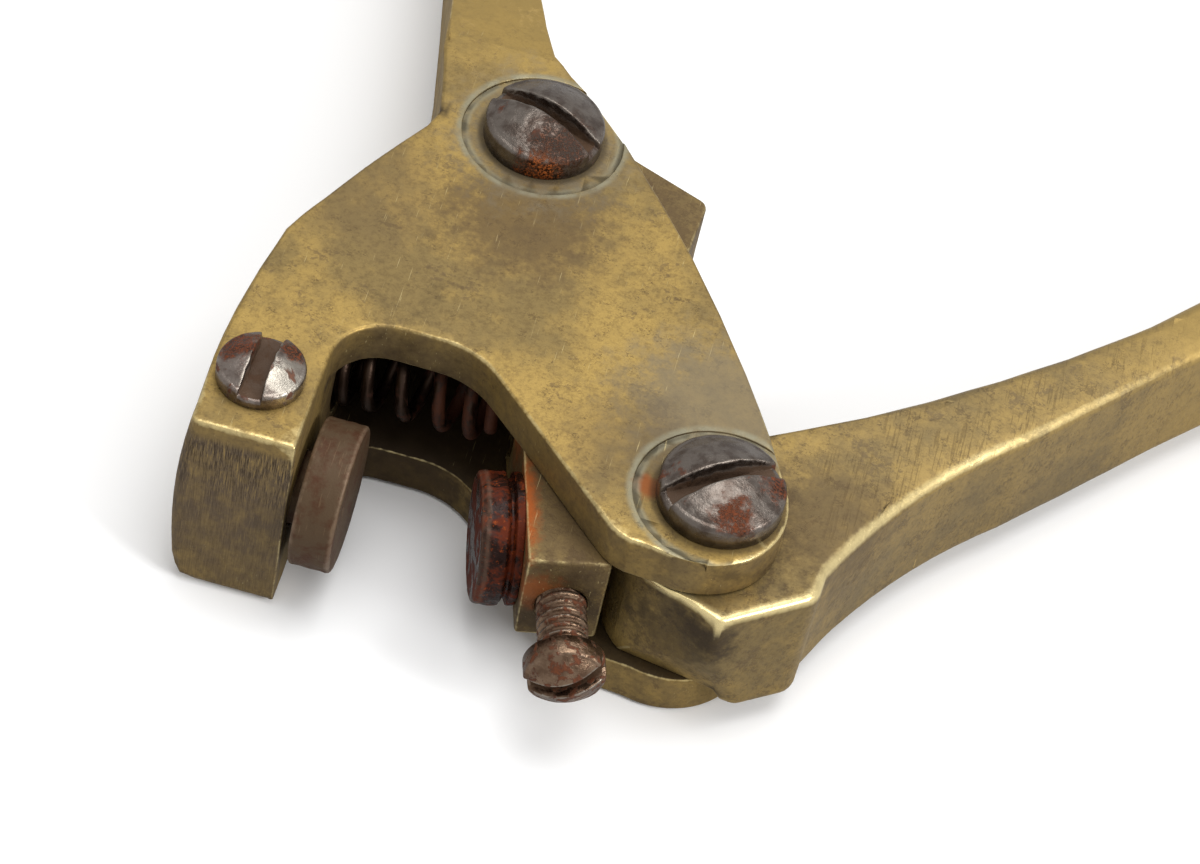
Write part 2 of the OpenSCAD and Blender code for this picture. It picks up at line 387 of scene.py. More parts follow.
def swing_jaw_shape(points, normals):
    return filed(points, normals, 37)


# ---------------------------------------------------------------- screws

def screw_sizes(node, place):
    """Sizes of a screw in its own frame, whose z axis is the screw's: head radius, head top, seat of
    the head, shank radius and tip."""
    points = node_points(node, place)
    radius = np.hypot(points[:, 0], points[:, 1])
    seat = points[radius > 0.97 * radius.max(), 2].min()
    shank = radius[points[:, 2] < seat - 0.3].max()
    return radius.max(), points[:, 2].max(), seat, shank, points[:, 2].min()


def screw_head(radius, height, slot_width, floor, ragged, seed):
    """Closed domed head with a slot along x. Its top is z = dome(r) - slot(y), with the slot's half
    width wandering along x, on a grid of columns across the slot; the rim carries the grid's
    outline down a rounded edge and a straight wall to the seat at z = 0."""
    fillet = 0.1 * radius
    flat = radius - fillet
    half = slot_width / 2
    spread = flat * np.sin(np.linspace(-np.pi / 2, np.pi / 2, 61))
    walls = np.concatenate([np.linspace(-0.3, 0.3, 15) + side * half for side in (-1, 1)])
    columns = np.unique(np.round(np.concatenate([spread, walls]), 4))
    columns = columns[np.abs(columns) <= flat]
    share = np.sin(np.linspace(-np.pi / 2, np.pi / 2, 81))
    y = np.repeat(columns[:, None], len(share), 1)
    x = share[None, :] * np.sqrt(np.maximum(flat ** 2 - y ** 2, 0))

    def top(x, y):
        flatness = np.stack([x, y, np.zeros_like(x)], -1).reshape(-1, 3)
        pits = ripples(flatness, 1.1, seed).reshape(x.shape)
        rim_z = height * 0.5
        dome = rim_z + (height - rim_z) * (1 - (x ** 2 + y ** 2) / radius ** 2) + 0.03 * pits
        wander = ragged * ripples(flatness * [1, 0.1, 1], 1.6, seed + 5).reshape(x.shape)
        cut = 1 - smooth_step(np.abs(y) - half - wander, -0.06, 0.06)
        worn = 0.05 * np.exp(-((np.abs(y) - half - wander) / 0.12) ** 2)
        return dome - worn * (1 - cut) - cut * np.maximum(dome - floor, 0), cut

    z, cut = top(x, y)
    rim_gap = radius - np.hypot(x, y)
    slot_gap = np.abs(np.abs(y) - half)
    lid = (np.stack([x, y, z], -1).reshape(-1, 3), grid_faces(*x.shape),
           np.minimum(rim_gap, np.where(cut > 0.05, slot_gap + 1.5, slot_gap)).ravel(),
           (5 * (1 - cut) ** 3).ravel())

    ring_x = np.concatenate([x[:, -1], x[::-1, 0]])
    ring_y = np.concatenate([y[:, -1], y[::-1, 0]])
    ring_z = top(ring_x[None], ring_y[None])[0][0]
    turn = np.arctan2(ring_y, ring_x)
    bend = np.linspace(0, np.pi / 2, 5)
    reach = np.concatenate([flat + fillet * np.sin(bend), [radius, radius, flat]])
    drop = fillet * (1 - np.cos(bend))
    heights = np.concatenate([ring_z - drop[:, None], [ring_z * 0.45], [ring_z * 0 + 0.08],
                              [ring_z * 0]])
    wall_edge = np.array([0.3, 0.25, 0.22, 0.28, 0.4, 0.9, 0.25, 0.6])
    band = (np.stack([reach[:, None] * np.cos(turn), reach[:, None] * np.sin(turn), heights], -1)
            .reshape(-1, 3), grid_faces(len(reach), len(turn), wrap=True),
            np.repeat(wall_edge, len(turn)), np.repeat(np.linspace(5, 1.2, len(reach)), len(turn)))
    seat = (np.stack([x, y, np.zeros_like(x)], -1).reshape(-1, 3), grid_faces(*x.shape)[:, ::-1],
            np.full(x.size, 2.0), np.full(x.size, 1.0))
    return [lid, band, seat]


def screw_shank(radius, length, pitch, depth, bare, sides=60):
    """Closed threaded rod from z = 0 down to -length: r = radius - depth * saw(z / pitch - turn), a
    ridge that winds round once per pitch. Rings are close together only over the bare stretch."""
    rings = np.concatenate([np.linspace(0.15, -bare, int(bare / 0.055) + 2),
                            np.linspace(-bare, 0.4 - length, 12)[1:], [-length]])
    angle = np.arange(sides) / sides
    phase = (rings[:, None] / pitch - angle[None]) % 1
    ridge = np.abs(2 * phase - 1)
    reach = radius - depth * (1 - smooth_step(ridge, 0.1, 0.75))
    reach[rings < -bare - 0.01] = radius - depth * 0.5
    reach[-1] = radius - 2.2 * depth - 0.2
    turn = angle * 2 * np.pi
    points = np.stack([reach * np.cos(turn), reach * np.sin(turn),
                       np.repeat(rings[:, None], sides, 1)], -1).reshape(-1, 3)
    ends = np.array([[0, 0, rings[0]], [0, 0, rings[-1]]])
    around = np.arange(sides)
    after = (around + 1) % sides
    last_ring = (len(rings) - 1) * sides
    top = np.stack([np.full(sides, len(points)), after, around], -1)
    tip = np.stack([np.full(sides, len(points) + 1), last_ring + around, last_ring + after], -1)
    edge = (0.05 + 0.9 * (1 - ridge)).ravel()
    hollow = (0.4 + 3 * ridge).ravel()
    wall = (points, grid_faces(len(rings), sides, wrap=True), edge, hollow)
    caps = (np.concatenate([points, ends]), np.concatenate([top, tip]), np.append(edge, [1, 1]),
            np.append(hollow, [5, 5]))
    return [wall, caps]


def screw(node, place, material, body, slot_width, slot_share, ragged, pitch, depth, bare, seed):
    """A slotted screw from its node's own sizes: domed head and threaded shank."""
    head_radius, top, seat, shank_radius, tip = screw_sizes(node, place)
    height = (top - seat) * 1.01
    head = screw_head(head_radius, height, slot_width, height * slot_share, ragged, seed)
    shank = screw_shank(shank_radius, seat - tip, pitch, depth, bare)
    points, faces, edge, hollow = joined(head + shank)
    return new_piece(node + "_worn", moved(place, points + [0, 0, seat]), faces, edge, hollow,
                     material, body, node)


# ---------------------------------------------------------------- dies

def die(node, place, corners, radii, flat, material, body, seed, pits):
    """Turned die: its profile carried round its axis, pitted, with a flat along its shank."""
    profile = filleted(corners, radii)
    dense = [profile[:1]]
    for start, end in zip(profile, profile[1:]):
        steps = max(1, int(np.linalg.norm(end - start) / 0.25))
        dense.append(start + (end - start) * np.linspace(0, 1, steps + 1)[1:, None])
    profile = np.concatenate(dense)
    points, faces = turned(profile, 120)
    edge = np.repeat(segment_distance(np.c_[profile, profile[:, 0] * 0],
                                      np.c_[corners[1:3], [0, 0]], np.c_[corners[1:3], [0, 0]]), 120)
    reach = np.hypot(points[:, 0], points[:, 1])
    pitted = 1 + pits * ripples(points, 0.9, seed) * smooth_step(reach, 1, 3) / np.maximum(reach, 1)
    points[:, :2] *= pitted[:, None]
    behind = points[:, 2] > flat[0]
    points[:, 0] = np.where(behind, np.minimum(points[:, 0], flat[1]), points[:, 0])
    return new_piece(node + "_worn", moved(place, points), faces.tolist(), edge,
                     np.full(len(points), 5.0), material, body, node)


# ---------------------------------------------------------------- spring

SPRING_WIRE = 1.1
SPRING_TURNS = 5.5


def spring(material):
    """Coil spring: a round wire section carried along a helix about the x axis, with its end turns
    closing up, x = start + length * (t - sin(2 pi t) / 20)."""
    low, high = box_mm("return_spring")
    coil = (high[2] - low[2] - SPRING_WIRE) / 2
    centre_y = (low[1] + high[1]) / 2
    t = np.linspace(0, 1, int(SPRING_TURNS * 40) + 1)
    start, end = low[0] + SPRING_WIRE / 2, high[0] - SPRING_WIRE / 2
    closing = t - 0.05 * np.sin(2 * np.pi * t)
    angle = 2 * np.pi * SPRING_TURNS * t
    centre = np.stack([start + (end - start) * closing, centre_y + coil * np.cos(angle),
                       coil * np.sin(angle)], -1)
    out = np.stack([0 * t, np.cos(angle), np.sin(angle)], -1)
    side = np.cross(np.gradient(centre, axis=0), out)
    side /= np.linalg.norm(side, axis=1)[:, None]
    turn = np.arange(14) / 14 * 2 * np.pi
    section = np.cos(turn)[None, :, None] * out[:, None] + np.sin(turn)[None, :, None] * side[:, None]
    points = (centre[:, None] + section * SPRING_WIRE / 2).reshape(-1, 3)
    faces = grid_faces(len(t), 14, wrap=True).tolist()
    faces += [list(range(14))[::-1], list(range((len(t) - 1) * 14, len(t) * 14))]
    level = np.ones(len(points))
    piece = new_piece("return_spring_coil", points, faces, level, 5 * level, material, "frame",
                      "return_spring")
    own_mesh(piece)
    return piece


# ---------------------------------------------------------------- shader helpers

class Wiring:
    """Adds shader nodes to one tree. An input's value is a constant or another node's output."""

    def __init__(self, tree):
        self.tree = tree

    def node(self, kind, inputs=None, **settings):
        made = self.tree.nodes.new("ShaderNode" + kind)
        for name, value in settings.items():
            setattr(made, name, value)
        for name, value in (inputs or {}).items():
            if isinstance(value, bpy.types.NodeSocket):
                self.tree.links.new(value, made.inputs[name])
            else:
                made.inputs[name].default_value = value
        return made

    def math(self, operation, a, b=0.0, clamp=False):
        return self.node("Math", {0: a, 1: b}, operation=operation, use_clamp=clamp).outputs[0]

    def vector(self, operation, a, b=(0, 0, 0), scale=1.0):
        inputs = {0: a, 3: scale} if operation == "SCALE" else {0: a, 1: b}
        made = self.node("VectorMath", inputs, operation=operation)
        return made.outputs["Value" if operation in ("LENGTH", "DISTANCE") else "Vector"]

    def mix(self, factor, a, b, blend="MIX"):
        made = self.node("Mix", {0: factor, 6: a, 7: b}, data_type="RGBA", blend_type=blend)
        return made.outputs[2]

    def between(self, factor, a, b):
        return self.node("Mix", {0: factor, 2: a, 3: b}).outputs[0]

    def step(self, value, low, high, start=0.0, end=1.0):
        made = self.node("MapRange", {"Value": value, "From Min": low, "From Max": high,
                                      "To Min": start, "To Max": end}, interpolation_type="SMOOTHSTEP")
        return made.outputs[0]

    def noise(self, vector, scale, detail=3.0, roughness=0.55, distortion=0.0):
        return self.node("TexNoise", {"Vector": vector, "Scale": scale, "Detail": detail,
                                      "Roughness": roughness, "Distortion": distortion}).outputs["Fac"]

    def stretched(self, vector, scale, rotation=(0, 0, 0)):
        return self.node("Mapping", {"Vector": vector, "Scale": scale, "Rotation": rotation}).outputs[0]

    def group(self, tree, inputs):
        made = self.tree.nodes.new("ShaderNodeGroup")
        made.node_tree = tree
        for name, value in inputs.items():
            if isinstance(value, bpy.types.NodeSocket):
                self.tree.links.new(value, made.inputs[name])
            else:
                made.inputs[name].default_value = value
        return made.outputs


def new_group(name, inputs, outputs):
    """A node group with named sockets: {name: (kind, default)} in, {name: kind} out."""
    tree = bpy.data.node_groups.new(name, "ShaderNodeTree")
    for title, (kind, value) in inputs.items():
        socket = tree.interface.new_socket(title, in_out="INPUT", socket_type="NodeSocket" + kind)
        socket.default_value = value
    for title, kind in outputs.items():
        tree.interface.new_socket(title, in_out="OUTPUT", socket_type="NodeSocket" + kind)
    source = tree.nodes.new("NodeGroupInput").outputs
    sink = tree.nodes.new("NodeGroupOutput").inputs
    return Wiring(tree), source, sink


def put_out(wire, sink, **values):
    for title, value in values.items():
        wire.tree.links.new(value, sink[title])
    return wire.tree


ORIGIN = (0.0, 0.0, 0.0)


def speckle_group():
    """Dark tarnish specks: fine noise over a threshold that a broad noise moves up and down."""
    wire, source, sink = new_group("tarnish_specks", {"Vector": ("Vector", ORIGIN), "Size": ("Float", 1.0),
                                   "Amount": ("Float", 0.5)}, {"Mask": "Float", "Cloud": "Float"})
    spot = wire.math("DIVIDE", 1.0, source["Size"])
    fine = wire.noise(source["Vector"], spot, 5.0, 0.68)
    broad = wire.noise(source["Vector"], wire.math("MULTIPLY", spot, 0.14), 2.0, 0.5)
    level = wire.math("ADD", fine, wire.math("MULTIPLY", wire.math("SUBTRACT", broad, 0.5), 0.9))
    low = wire.math("SUBTRACT", 0.95, wire.math("MULTIPLY", source["Amount"], 0.7))
    mask = wire.step(level, low, wire.math("ADD", low, 0.14))
    return put_out(wire, sink, Mask=mask, Cloud=broad)


def edge_wear_group():
    """Rubbed edges: near 1 on an edge and 0 a width away from it, with a ragged border."""
    wire, source, sink = new_group("edge_wear", {"Distance": ("Float", 1.0), "Width": ("Float", 0.5),
                                   "Vector": ("Vector", ORIGIN), "Ragged": ("Float", 1.2)},
                                   {"Mask": "Float"})
    broad = wire.noise(source["Vector"], 0.35, 3.0, 0.6)
    fine = wire.noise(source["Vector"], 2.2, 3.0, 0.6)
    shift = wire.math("SUBTRACT", wire.math("ADD", broad, fine), 1.0)
    shift = wire.math("MULTIPLY", shift, source["Ragged"])
    share = wire.math("DIVIDE", source["Distance"], source["Width"])
    mask = wire.step(wire.math("ADD", share, shift), 1.05, 0.05)
    return put_out(wire, sink, Mask=mask)


def soft_patch_group():
    """A soft ragged patch round a point: 1 at its centre, 0 past its radius. It is drawn out along
    its axis, which has unit length, or none for a round patch."""
    wire, source, sink = new_group("soft_patch", {"Vector": ("Vector", ORIGIN), "Centre": ("Vector", ORIGIN),
                                   "Radius": ("Float", 3.0), "Ragged": ("Float", 0.5),
                                   "Axis": ("Vector", ORIGIN)}, {"Mask": "Float"})
    gap = wire.vector("SUBTRACT", source["Vector"], source["Centre"])
    along = wire.node("VectorMath", {0: gap, 1: source["Axis"]}, operation="DOT_PRODUCT").outputs["Value"]
    along = wire.vector("SCALE", source["Axis"], scale=wire.math("MULTIPLY", along, 0.78))
    away = wire.vector("LENGTH", wire.vector("SUBTRACT", gap, along))
    rough = wire.math("SUBTRACT", wire.noise(source["Vector"], 0.8, 4.0, 0.65), 0.5)
    share = wire.math("ADD", wire.math("DIVIDE", away, source["Radius"]),
                      wire.math("MULTIPLY", rough, wire.math("MULTIPLY", source["Ragged"], 2.5)))
    return put_out(wire, sink, Mask=wire.step(share, 1.1, 0.35))


def scratch_group():
    """Fine parallel scratches on stretched coordinates: thin peaks of a noise."""
    wire, source, sink = new_group("scratches", {"Vector": ("Vector", ORIGIN), "Amount": ("Float", 0.5)},
                                   {"Mask": "Float"})
    line = wire.noise(source["Vector"], 1.0, 2.0, 0.5)
    low = wire.math("SUBTRACT", 0.8, wire.math("MULTIPLY", source["Amount"], 0.3))
    return put_out(wire, sink, Mask=wire.step(line, low, wire.math("ADD", low, 0.06)))


def rust_group():
    """Rust blooms: patches with an orange middle and a dark brown border, and a crumbly height."""
    wire, source, sink = new_group("rust_bloom", {"Vector": ("Vector", ORIGIN), "Size": ("Float", 2.0),
                                   "Amount": ("Float", 0.5)},
                                   {"Mask": "Float", "Color": "Color", "Height": "Float"})
    spot = wire.math("DIVIDE", 1.0, source["Size"])
    patch = wire.noise(source["Vector"], spot, 4.0, 0.62, 0.4)
    low = wire.math("SUBTRACT", 0.82, wire.math("MULTIPLY", source["Amount"], 0.55))
    mask = wire.step(patch, low, wire.math("ADD", low, 0.08))
    crumb = wire.noise(source["Vector"], 4.5, 4.0, 0.7)
    inner = wire.step(wire.math("ADD", patch, wire.math("MULTIPLY", crumb, 0.35)),
                      wire.math("ADD", low, 0.12), wire.math("ADD", low, 0.36))
    colour = wire.mix(inner, (0.030, 0.013, 0.008, 1), (0.125, 0.032, 0.008, 1))
    return put_out(wire, sink, Mask=mask, Color=colour, Height=crumb)


SPECKS, EDGE_WEAR, SOFT_PATCH = speckle_group(), edge_wear_group(), soft_patch_group()
SCRATCHES, RUST = scratch_group(), rust_group()


def new_material(name):
    """An empty material with its Principled shader, and the surface point in millimetres."""
    material = bpy.data.materials.new(name)
    material.use_nodes = True
    shader = material.node_tree.nodes["Principled BSDF"]
    wire = Wiring(material.node_tree)
    point = wire.vector("SCALE", wire.node("TexCoord").outputs["Object"], scale=1 / MM)
    return material, wire, shader, point


def kept(wire, name):
    """A distance that the mesh keeps at its points."""
    return wire.node("Attribute", attribute_name=name).outputs["Fac"]


def finish_surface(wire, shader, colour, roughness, metallic, height, strength, distance=0.00005):
    """Joins colour, roughness, metal and relief to the shader."""
    bump = wire.node("Bump", {"Height": height, "Strength": strength, "Distance": distance})
    for name, value in (("Base Color", colour), ("Roughness", roughness), ("Metallic", metallic),
                        ("Normal", bump.outputs[0])):
        wire.tree.links.new(value, shader.inputs[name])


# ---------------------------------------------------------------- finishes

GOLD = (0.42, 0.285, 0.088, 1)
OLIVE = (0.25, 0.178, 0.07, 1)
BROWN = (0.105, 0.066, 0.030, 1)
# Near-black brown: grime in hollows and file marks, and painted shade inside the slot and on the swing
# jaw's end face.
DIRT_AND_SHADE = (0.034, 0.020, 0.008, 1)
GREY_FILM = (0.19, 0.155, 0.10, 1)
FACE_FILM = (0.115, 0.082, 0.055, 1)
GREEN_FILM = (0.30, 0.285, 0.20, 1)
BRIGHT_BRASS = (0.88, 0.72, 0.36, 1)
ORANGE_RUST = (0.33, 0.085, 0.014, 1)
VIVID_RUST = (0.36, 0.085, 0.010, 1)
SLOT_DIRT = (0.075, 0.040, 0.020, 1)
DEEP_RUST = (0.15, 0.036, 0.009, 1)
# Near-black brown, painted as shade on the lower half of a screw dome.
DOME_SHADE = (0.045, 0.032, 0.024, 1)
WORN_STEEL = (0.40, 0.365, 0.31, 1)
# Black rust under each screw patch; under the dome's shade patch it is painted shade.
BLACK_RUST_AND_SHADE = (0.055, 0.022, 0.012, 1)


def old_brass(name, stains_and_shade, filed_front=None, seats=(), slot_half=0, wear=0.5, rubbed=0.7,
              ragged=1.2, specks=0.5, walls=0.3, scratch_turn=0.4, scratch_amount=0.4,
              scratch_colour=BRIGHT_BRASS):
    """Old cast brass: a gold to olive patina with brown specks, a film and stains by place, grime in
    the hollows, brown dirt and painted shade on its side walls, and, given the slot's half height,
    painted shade on upright faces inside the slot, fine scratches and bright rubbed edges. Each patch,
    stain and painted shade alike, is its place, radius, colour, amount and dulling, and an axis if it
    is a streak. Screw seats get a pale film round their rim, and a filed front face gets a brown film
    and file marks."""
    material, wire, shader, point = new_material(name)
    edge, hollow = kept(wire, "edge_mm"), kept(wire, "hollow_mm")
    broad = wire.noise(point, 0.09, 3.0, 0.55)
    tint = wire.noise(point, 0.6, 4.0, 0.6)
    tone = wire.step(wire.math("ADD", broad, wire.math("MULTIPLY", tint, 0.45)), 0.56, 0.9)
    colour = wire.mix(tone, GOLD, OLIVE)
    mottle = wire.step(wire.noise(point, 2.2, 6.0, 0.74), 0.42, 0.68)
    colour = wire.mix(wire.math("MULTIPLY", mottle, 0.45), colour, BROWN)
    speck = wire.group(SPECKS, {"Vector": point, "Size": 0.55, "Amount": specks})
    fleck = wire.group(SPECKS, {"Vector": wire.vector("ADD", point, (40, 9, 3)), "Size": 0.22,
                                "Amount": specks})
    colour = wire.mix(wire.math("MULTIPLY", speck["Mask"], 0.55), colour, BROWN)
    colour = wire.mix(wire.math("MULTIPLY", fleck["Mask"], 0.55), colour, BROWN)
    dull = wire.math("MULTIPLY", speck["Mask"], 0.6)
    for place, radius, stain_and_shade_colour, amount, dulling, *axis in stains_and_shade:
        mask = wire.group(SOFT_PATCH, {"Vector": point, "Centre": place, "Radius": radius,
                                  "Axis": axis[0] if axis else ORIGIN})["Mask"]
        colour = wire.mix(wire.math("MULTIPLY", mask, amount), colour, stain_and_shade_colour)
        dull = wire.math("MAXIMUM", dull, wire.math("MULTIPLY", mask, dulling))
    normal = wire.node("SeparateXYZ", {0: wire.node("NewGeometry").outputs["True Normal"]}).outputs
    upright = wire.math("ABSOLUTE", normal[2])
    # Side walls go towards brown by walls: partly dirt, partly painted shade.
    wall_dirt_and_shade = wire.math("MULTIPLY", wire.step(upright, 0.6, 0.2), wire.step(tint, 0.3, 0.7, 0.5, 1.0))
    colour = wire.mix(wire.math("MULTIPLY", wall_dirt_and_shade, walls), colour, BROWN)
    dull = wire.math("MAXIMUM", dull, wire.math("MULTIPLY", wall_dirt_and_shade, walls))
    dirt_and_slot_shade = wire.step(wire.math("ADD", hollow, wire.noise(point, 1.5)), 1.9, 0.5)
    for seat in seats:
        away = wire.vector("DISTANCE", point, seat)
        ring = wire.step(wire.math("ABSOLUTE", wire.math("SUBTRACT", away, SEAT_RADIUS)), 0.8, 0.25)
        ring = wire.math("MULTIPLY", ring, wire.step(tint, 0.3, 0.6, 0.25, 0.75))
        colour = wire.mix(wire.math("MULTIPLY", ring, wire.step(upright, 0.5, 0.8)), colour, GREEN_FILM)
        clean = wire.step(away, SEAT_RADIUS + 1.6, SEAT_RADIUS + 1.0, 1.0, 0.0)
        dirt_and_slot_shade = wire.math("MULTIPLY", dirt_and_slot_shade, clean)
        rim = wire.step(wire.math("ABSOLUTE", wire.math("SUBTRACT", away, SEAT_RADIUS - 0.15)), 0.3, 0.05)
        rim = wire.math("MULTIPLY", rim, wire.step(tint, 0.35, 0.6, 0.1, 0.5))
        around_head = wire.step(away, 5.7, 5.2, 0.0, 0.6)
        dirt_and_slot_shade = wire.math("MAXIMUM", dirt_and_slot_shade, wire.math("MAXIMUM", rim, around_head))
    # Upright faces inside the slot between the cheeks join the dark mask: painted shade, added to the
    # grime in the hollows.
    if slot_half:
        height = wire.math("ABSOLUTE", wire.node("SeparateXYZ", {0: point}).outputs[2])
        level = wire.step(upright, 0.6, 0.9)
        slot_shade = wire.math("MULTIPLY", wire.step(height, slot_half + 0.25, slot_half + 0.05), level)
        dirt_and_slot_shade = wire.math("MAXIMUM", dirt_and_slot_shade, slot_shade)
    colour = wire.mix(wire.math("MULTIPLY", dirt_and_slot_shade, 0.92), colour, DIRT_AND_SHADE)
    dull = wire.math("MAXIMUM", dull, dirt_and_slot_shade)
    lines = wire.group(SCRATCHES, {"Vector": wire.stretched(point, (7, 0.3, 2), (0, 0, scratch_turn)),
                                   "Amount": scratch_amount})["Mask"]
    patchy = wire.step(wire.noise(point, 0.16), 0.42, 0.6)
    lines = wire.math("MULTIPLY", lines, patchy)
    colour = wire.mix(wire.math("MULTIPLY", lines, 0.35), colour, scratch_colour)
    if filed_front:
        side, ahead = filed_front
        across, along, up = wire.node("SeparateXYZ", {0: point}).outputs
        front = wire.math("MULTIPLY", wire.step(along, ahead + 0.3, ahead),
                          wire.step(across, side, side - 0.5))
        below = wire.step(wire.math("ADD", up, tint), HEAD_TOP - 0.5, HEAD_TOP - 1.7)
        film = wire.math("MULTIPLY", wire.step(tint, 0.3, 0.65, 0.6, 0.9),
                         wire.step(up, -9.0, 1.0, 0.5, 1.0))
        film = wire.math("MULTIPLY", film, wire.math("MULTIPLY", front, below))
        colour = wire.mix(film, colour, FACE_FILM)
        grooves = wire.noise(wire.stretched(point, (11, 1, 0.7)), 1.0, 3.0, 0.7)
        upper = wire.step(wire.math("ADD", up, wire.math("MULTIPLY", tint, 8.0)), 4.0, 11.0, 0.3, 1.0)
        marks = wire.math("MULTIPLY", wire.math("MULTIPLY", front, below), upper)
        dark_marks = wire.math("MULTIPLY", marks, wire.step(grooves, 0.50, 0.58, 0.0, 0.75))
        colour = wire.mix(dark_marks, colour, DIRT_AND_SHADE)
        light_marks = wire.math("MULTIPLY", marks, wire.step(grooves, 0.44, 0.36, 0.0, 0.6))
        colour = wire.mix(light_marks, colour, GOLD)
        dull = wire.math("MAXIMUM", dull, wire.math("MULTIPLY", front, 0.4))
    worn = wire.group(EDGE_WEAR, {"Distance": edge, "Width": wear, "Vector": point,
                                  "Ragged": ragged})["Mask"]
    colour = wire.mix(wire.math("MULTIPLY", worn, rubbed), colour, BRIGHT_BRASS)
    grain = wire.noise(point, 5.0, 3.0, 0.6)
    roughness = wire.between(dull, wire.math("ADD", 0.38, wire.math("MULTIPLY", grain, 0.2)), 0.72)
    roughness = wire.between(worn, roughness, 0.24)
    metallic = wire.between(wire.math("SUBTRACT", dull, worn, clamp=True), 0.78, 0.2)
    pits = wire.math("MULTIPLY", wire.math("ADD", speck["Mask"], fleck["Mask"]), -0.35)
    height = wire.math("ADD", wire.math("MULTIPLY", grain, 0.5),
                       wire.math("ADD", pits, wire.math("MULTIPLY", lines, -0.4)))
    height = wire.math("MULTIPLY", height, wire.math("SUBTRACT", 1.0, wire.math("MULTIPLY", worn, 0.85)))
    finish_surface(wire, shader, colour, roughness, metallic, height, 0.5, 0.00006)
    shader.inputs["Specular IOR Level"].default_value = 0.35
    return material


def screw_steel(name, rust_size, rust_amount, stains_and_shade=(), bright=(), tone=(0.18, 0.153, 0.132, 1),
                shine=0.0):
    """Tarnished screw: purple-brown steel with silvery rubbed edges, rust blooms, rust patches and
    patches of painted shade by place, and brown dirt in its slot."""
    material, wire, shader, point = new_material(name)
    edge, hollow = kept(wire, "edge_mm"), kept(wire, "hollow_mm")
    cloud = wire.noise(point, 0.7, 4.0, 0.6)
    dark_tone = (tone[0] * 0.55, tone[1] * 0.5, tone[2] * 0.48, 1)
    colour = wire.mix(wire.step(cloud, 0.4, 0.65), tone, dark_tone)
    rust = wire.group(RUST, {"Vector": point, "Size": rust_size, "Amount": rust_amount})
    worn = wire.group(EDGE_WEAR, {"Distance": edge, "Width": 0.26,
                                  "Vector": wire.vector("ADD", point, (5, 5, 5))})
    silver = wire.math("MULTIPLY", worn["Mask"], 0.3 + shine)
    for place, radius in bright:
        patch = wire.group(SOFT_PATCH, {"Vector": point, "Centre": place, "Radius": radius,
                                   "Ragged": 0.8})["Mask"]
        silver = wire.math("MAXIMUM", silver, patch)
    colour = wire.mix(silver, colour, WORN_STEEL)
    rusty = wire.math("MULTIPLY", rust["Mask"], 0.9)
    colour = wire.mix(rusty, colour, rust["Color"])
    # Each patch goes dark first, then takes its colour where the rust crumbles; the dark dome patch is
    # painted shade.
    for place, radius, stain_and_shade_colour in stains_and_shade:
        patch = wire.group(SOFT_PATCH, {"Vector": point, "Centre": place, "Radius": radius,
                                   "Ragged": 0.9})["Mask"]
        colour = wire.mix(wire.math("MULTIPLY", patch, 0.9), colour, BLACK_RUST_AND_SHADE)
        patch = wire.math("MULTIPLY", patch, wire.step(rust["Height"], 0.42, 0.6))
        colour = wire.mix(patch, colour, stain_and_shade_colour)
        rusty = wire.math("MAXIMUM", rusty, patch)
    dirt = wire.step(wire.math("ADD", hollow, wire.noise(point, 1.5, 4.0)), 2.3, 0.9)
    colour = wire.mix(wire.math("MULTIPLY", dirt, 0.9), colour, SLOT_DIRT)
    rusty = wire.math("MAXIMUM", rusty, dirt)
    grain = wire.noise(point, 3.5, 4.0, 0.65)
    roughness = wire.between(rusty, wire.math("ADD", 0.16, wire.math("MULTIPLY", grain, 0.3)), 0.68)
    metallic = wire.between(rusty, 0.95, 0.1)
    height = wire.math("ADD", grain, wire.math("MULTIPLY", rust["Height"], rusty))
    finish_surface(wire, shader, colour, roughness, metallic, height, 0.7, 0.00007)
    shader.inputs["Specular IOR Level"].default_value = 0.25
    return material


def browned_die(name):
    """Browned die: dark reddish brown with a few light scuffs and lighter rubbed edges."""
    material, wire, shader, point = new_material(name)
    edge = kept(wire, "edge_mm")
    cloud = wire.noise(point, 0.6, 5.0, 0.68)
    colour = wire.mix(wire.step(cloud, 0.42, 0.68), (0.084, 0.052, 0.028, 1), (0.068, 0.028, 0.013, 1))
    scuffs = wire.group(SPECKS, {"Vector": point, "Size": 0.5, "Amount": 0.42})["Mask"]
    colour = wire.mix(wire.math("MULTIPLY", scuffs, 0.45), colour, (0.17, 0.115, 0.065, 1))
    rings = wire.group(SCRATCHES, {"Vector": wire.stretched(point, (7, 0.6, 0.6)), "Amount": 0.5})["Mask"]
    colour = wire.mix(wire.math("MULTIPLY", rings, 0.35), colour, (0.17, 0.11, 0.06, 1))
    worn = wire.group(EDGE_WEAR, {"Distance": edge, "Width": 0.4, "Vector": point})["Mask"]
    colour = wire.mix(wire.math("MULTIPLY", worn, 0.4), colour, (0.30, 0.21, 0.14, 1))
    grain = wire.noise(point, 4.0, 4.0, 0.6)
    roughness = wire.between(worn, wire.math("ADD", 0.42, wire.math("MULTIPLY", grain, 0.3)), 0.35)
    finish_surface(wire, shader, colour, roughness, wire.between(scuffs, 0.25, 0.6), grain, 0.6)
    shader.inputs["Specular IOR Level"].default_value = 0.2
    return material


